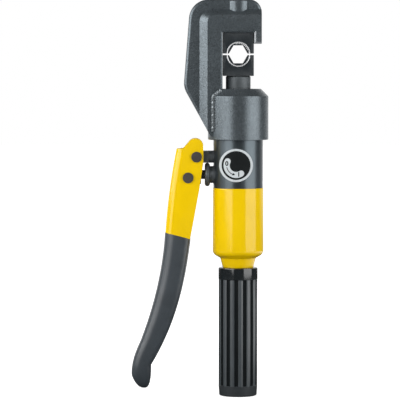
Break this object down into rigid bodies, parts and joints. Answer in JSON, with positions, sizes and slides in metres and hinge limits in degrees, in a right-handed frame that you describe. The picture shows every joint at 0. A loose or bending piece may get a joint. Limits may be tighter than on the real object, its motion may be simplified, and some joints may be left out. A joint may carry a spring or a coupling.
{
  "type": "hydraulic crimping tool",
  "caption": "Hand-operated hydraulic crimper: C-shaped head with hexagon dies on a ram, lever pump, oil barrel and a ribbed grip that turns to release the pressure.",
  "frame": {"origin": "centre of the grip's end face, on the tool's axis", "axes": "+Z along the tool's axis from the grip to the head, -Y to the front with the label, -X to the lever, and the die mouth opens to +X"},
  "size_m": [0.1117, 0.0488, 0.3201],
  "materials": {
    "grey_coat": "satin dark grey coating on cast steel",
    "yellow_paint": "gloss yellow paint",
    "black_oxide": "blackened steel",
    "ram_steel": "ground dark steel",
    "bright_steel": "plain ground steel",
    "brass": "turned brass",
    "grip_rubber": "smooth black rubber",
    "seal_rubber": "black seal rubber",
    "bladder_rubber": "oil-proof rubber",
    "label": "printed black on light grey"
  },
  "bodies": {
    "frame": {"c_head": "grey_coat", "upper_die": "black_oxide", "die_set_screw": "black_oxide", "rod_wiper": "seal_rubber", "head_seal": "seal_rubber", "return_spring": "bright_steel", "pump_body": "grey_coat", "label_plate": "label", "fulcrum_lug": "black_oxide", "gland_nut": "black_oxide", "plunger_seal": "seal_rubber", "inlet_spring": "bright_steel", "outlet_seat": "brass", "outlet_spring": "bright_steel", "outlet_plug": "brass", "relief_spring": "bright_steel", "relief_screw": "brass", "passage_plugs": "black_oxide", "stem_seal": "seal_rubber", "suction_filter": "brass", "reservoir_barrel": "yellow_paint", "barrel_seal": "seal_rubber", "stem_tube": "bright_steel", "oil_bladder": "bladder_rubber", "bladder_clip": "bright_steel", "grip_circlip": "bright_steel"},
    "ram": {"ram": "ram_steel", "piston_seal": "seal_rubber", "lower_die": "black_oxide", "lower_die_ring": "seal_rubber"},
    "lever": {"lever_channel": "yellow_paint", "lever_sleeve": "grip_rubber", "fulcrum_pin": "black_oxide", "plunger_pin": "black_oxide", "pin_circlips": "bright_steel"},
    "plunger": {"plunger": "ram_steel"},
    "grip": {"grip_sleeve": "grip_rubber", "grip_core": "bright_steel", "drive_disc": "brass", "drive_screws": "black_oxide"},
    "stem": {"release_stem": "bright_steel"},
    "inlet_valve": {"inlet_ball": "bright_steel"},
    "outlet_valve": {"outlet_ball": "bright_steel"},
    "relief_valve": {"relief_ball": "bright_steel"}
  },
  "joints": [
    {"name": "ram_slide", "type": "slide", "parent": "frame", "child": "ram", "axis": [0, 0, 1], "range_m": [-0.01, 0.0012], "deforming": ["return_spring"]},
    {"name": "lever_swing", "type": "hinge", "parent": "frame", "child": "lever", "pos_m": [-0.0335, 0, 0.1936], "axis": [0, -1, 0], "range_deg": [-30, 8.5]},
    {"name": "plunger_stroke", "type": "slide", "parent": "frame", "child": "plunger", "axis": [1, 0, 0], "range_m": [-0.0079, 0.0023]},
    {"name": "release_turn", "type": "hinge", "parent": "frame", "child": "grip", "pos_m": [0, 0, 0.05], "axis": [0, 0, -1], "range_deg": [0, 150]},
    {"name": "stem_screw", "type": "slide", "parent": "grip", "child": "stem", "axis": [0, 0, 1], "range_m": [-0.00052, 0]},
    {"name": "inlet_lift", "type": "slide", "parent": "frame", "child": "inlet_valve", "axis": [0, 0, 1], "range_m": [0, 0.0008], "stiffness_N_per_m": 20, "springref_m": -0.00125, "deforming": ["inlet_spring"]},
    {"name": "outlet_lift", "type": "slide", "parent": "frame", "child": "outlet_valve", "axis": [0, 0, 1], "range_m": [0, 0.0008], "stiffness_N_per_m": 20, "springref_m": -0.00125, "deforming": ["outlet_spring"]},
    {"name": "relief_lift", "type": "slide", "parent": "frame", "child": "relief_valve", "axis": [0, 0, -1], "range_m": [0, 0.0006], "stiffness_N_per_m": 20, "springref_m": -0.00125, "deforming": ["relief_spring"]}
  ],
  "couplings": [
    {"joint": "plunger_stroke", "follows": "lever_swing", "m_per_rad": 0.0149},
    {"joint": "release_turn", "follows": "stem_screw", "rad_per_m": -5026.5}
  ]
}
